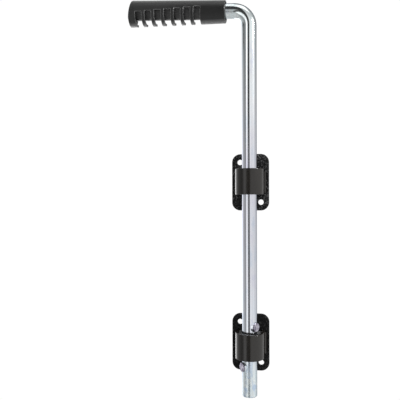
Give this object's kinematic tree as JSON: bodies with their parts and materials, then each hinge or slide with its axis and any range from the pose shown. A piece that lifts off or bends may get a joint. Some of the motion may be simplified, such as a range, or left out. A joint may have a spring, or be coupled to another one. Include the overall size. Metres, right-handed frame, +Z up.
{
  "type": "gate drop bolt latch",
  "caption": "Bent round drop bolt with a ribbed finger grip, guided by black plate-and-collar brackets, with locking lugs above and below the lower collar.",
  "frame": {"origin": "centre of the lower bracket's back face, which lies against the gate", "axes": "+Z up along the bolt rod, from its free end to its handle; -Y out from the gate towards the user; +X to the right as the user faces the gate, so the handle points along -X at rest"},
  "size_m": [0.1518, 0.0321, 0.4308],
  "materials": {
    "zinc_steel": "bright zinc plate, passivated",
    "black_plate": "textured black powder coat",
    "black_collar": "smooth semi-gloss black powder coat",
    "nylon": "moulded nylon",
    "grip_black": "satin moulded plastic",
    "screw_steel": "plain zinc"
  },
  "bodies": {
    "brackets": {"lower_plate": "black_plate", "lower_collar": "black_collar", "lower_weld_left": "black_collar", "lower_weld_right": "black_collar", "lower_guide": "nylon", "lower_guide_screw": "screw_steel", "upper_plate": "black_plate", "upper_collar": "black_collar", "upper_weld_left": "black_collar", "upper_weld_right": "black_collar", "upper_guide": "nylon", "upper_guide_screw": "screw_steel"},
    "bush": {"upper_bush": "nylon"},
    "bolt": {"bolt_rod": "zinc_steel", "upper_lug": "zinc_steel", "upper_lug_weld": "zinc_steel", "lower_lug": "zinc_steel", "lower_lug_weld": "zinc_steel", "grip": "grip_black"}
  },
  "joints": [
    {"name": "bolt_turn", "type": "hinge", "parent": "brackets", "child": "bush", "pos_m": [0, -0.017, 0.175], "axis": [0, 0, 1], "range_deg": [0, 180]},
    {"name": "bolt_slide", "type": "slide", "parent": "bush", "child": "bolt", "axis": [0, 0, 1], "range_m": [-0.15, 0]}
  ]
}
